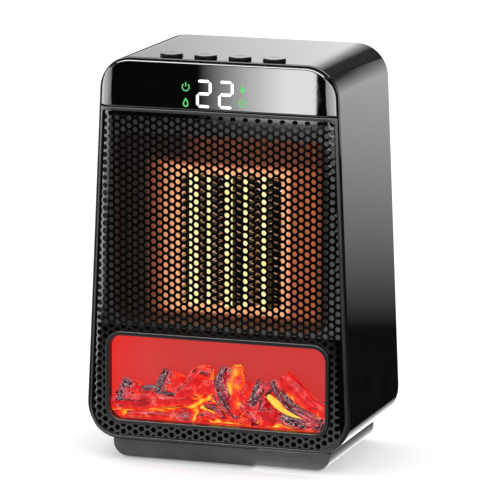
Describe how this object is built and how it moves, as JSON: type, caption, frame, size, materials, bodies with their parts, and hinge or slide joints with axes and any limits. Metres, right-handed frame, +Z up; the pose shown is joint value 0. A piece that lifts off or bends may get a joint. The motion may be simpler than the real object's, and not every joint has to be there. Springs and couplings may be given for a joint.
{
  "type": "ceramic space heater",
  "caption": "Small ceramic fan heater with a tapered glossy housing, perforated front, flame-effect ember window, display strip and top push buttons.",
  "frame": {"origin": "middle of the underside of the object's box, on the surface it stands on", "axes": "+Z up, -Y out of the front grille, +X to the right seen from the front"},
  "size_m": [0.1598, 0.1022, 0.239],
  "materials": {
    "housing_gloss": "piano black, high gloss",
    "lens_gloss": "smoked acrylic, mirror gloss",
    "bezel_satin": "satin dark grey",
    "grille_black": "satin black powder coat",
    "inner_black": "fine moulded texture",
    "baffle_grey": "matte",
    "duct_heatproof": "heat-resistant, matte, lit by the heater",
    "chamber_red": "translucent red, lit from behind",
    "ember": "moulded clear red, lit from below",
    "lamp_white": "lit diffuser",
    "lamp_green": "lit diffuser",
    "circuit_board": "solder resist",
    "ceramic_lit": "glowing ceramic",
    "aluminium": "rolled strip",
    "steel": "zinc plated",
    "rubber": "matte",
    "part_blue": "moulded case",
    "part_ivory": "moulded case"
  },
  "bodies": {
    "casing": {"housing": "housing_gloss", "front_bezel": "bezel_satin", "display_lens": "lens_gloss", "front_grille": "grille_black", "window_frame": "bezel_satin", "flame_chamber": "chamber_red", "ember_bed": "ember", "flame_led_board": "circuit_board", "display_board": "circuit_board", "digit_module": "lamp_white", "icon_lamp_left": "lamp_green", "icon_lamp_right": "lamp_green", "button_board": "circuit_board", "front_baffle": "baffle_grey", "air_duct": "duct_heatproof", "heater_frame": "aluminium", "ptc_bar_1": "ceramic_lit", "ptc_bar_2": "ceramic_lit", "ptc_bar_3": "ceramic_lit", "ptc_bar_4": "ceramic_lit", "ptc_bar_5": "ceramic_lit", "fin_pack_1": "aluminium", "fin_pack_2": "aluminium", "fin_pack_3": "aluminium", "fin_pack_4": "aluminium", "fin_pack_5": "aluminium", "fin_pack_6": "aluminium", "thermal_cutout": "steel", "fan_shroud": "inner_black", "fan_motor": "steel", "main_board": "circuit_board", "relay_left": "part_blue", "relay_right": "part_blue", "supply_capacitor": "part_blue", "terminal_block": "part_ivory", "tilt_switch": "part_ivory", "rear_cover": "inner_black", "rear_screw_1": "steel", "rear_screw_2": "steel", "rear_screw_3": "steel", "rear_screw_4": "steel", "cord_inlet": "rubber", "base": "bezel_satin", "base_plate": "inner_black", "base_screw_1": "steel", "base_screw_2": "steel", "base_screw_3": "steel", "base_screw_4": "steel", "foot_1": "rubber", "foot_2": "rubber", "foot_3": "rubber", "foot_4": "rubber"},
    "power_button": {"button_power": "housing_gloss"},
    "heat_button": {"button_heat": "housing_gloss"},
    "flame_button": {"button_flame": "housing_gloss"},
    "timer_button": {"button_timer": "housing_gloss"},
    "fan_rotor": {"fan_impeller": "baffle_grey", "motor_shaft": "steel"}
  },
  "joints": [
    {"name": "power_press", "type": "slide", "parent": "casing", "child": "power_button", "axis": [0, 0, -1], "range_m": [0, 0.0008], "stiffness_N_per_m": 1200},
    {"name": "heat_press", "type": "slide", "parent": "casing", "child": "heat_button", "axis": [0, 0, -1], "range_m": [0, 0.0008], "stiffness_N_per_m": 1200},
    {"name": "flame_press", "type": "slide", "parent": "casing", "child": "flame_button", "axis": [0, 0, -1], "range_m": [0, 0.0008], "stiffness_N_per_m": 1200},
    {"name": "timer_press", "type": "slide", "parent": "casing", "child": "timer_button", "axis": [0, 0, -1], "range_m": [0, 0.0008], "stiffness_N_per_m": 1200},
    {"name": "fan_spin", "type": "hinge", "parent": "casing", "child": "fan_rotor", "pos_m": [0, 0.0017, 0.126], "axis": [0, 1, 0], "continuous": true}
  ]
}
